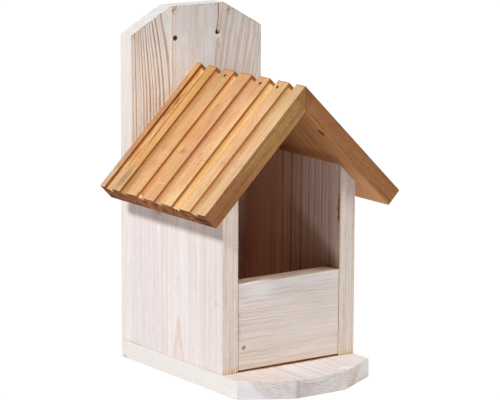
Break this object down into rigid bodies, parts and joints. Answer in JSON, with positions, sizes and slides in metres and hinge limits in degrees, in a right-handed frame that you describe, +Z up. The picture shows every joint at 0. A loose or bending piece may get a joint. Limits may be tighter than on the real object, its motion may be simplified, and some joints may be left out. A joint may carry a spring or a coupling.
{
  "type": "squirrel house",
  "caption": "Open-fronted wooden squirrel house with a low front board, a grooved gable roof, a landing ledge and a tall back board with hanging holes.",
  "frame": {"origin": "centre of the bounding box on the floor, under the base board", "axes": "+Z up, front opening faces -Y, +X to the right seen from the front"},
  "size_m": [0.2218, 0.224, 0.3415],
  "materials": {
    "white_wood": "thin white stain on planed softwood, grain showing through",
    "roof_wood": "bare grooved larch, matt",
    "steel": "dull galvanised"
  },
  "bodies": {
    "root": {"base_board": "white_wood", "back_board": "white_wood", "left_wall": "white_wood", "right_wall": "white_wood", "front_board": "white_wood", "left_roof": "roof_wood", "right_roof": "roof_wood", "base_screw_1": "steel", "base_screw_2": "steel", "base_screw_3": "steel", "base_screw_4": "steel", "base_screw_5": "steel", "base_screw_6": "steel", "back_screw_1": "steel", "back_screw_2": "steel", "back_screw_3": "steel", "back_screw_4": "steel", "roof_nail_1": "steel", "roof_nail_2": "steel", "roof_nail_3": "steel", "roof_nail_4": "steel", "ridge_nail_1": "steel", "ridge_nail_2": "steel", "ridge_nail_3": "steel", "wall_nail_1": "steel", "wall_nail_2": "steel", "wall_nail_3": "steel", "front_nail": "steel"}
  },
  "joints": []
}
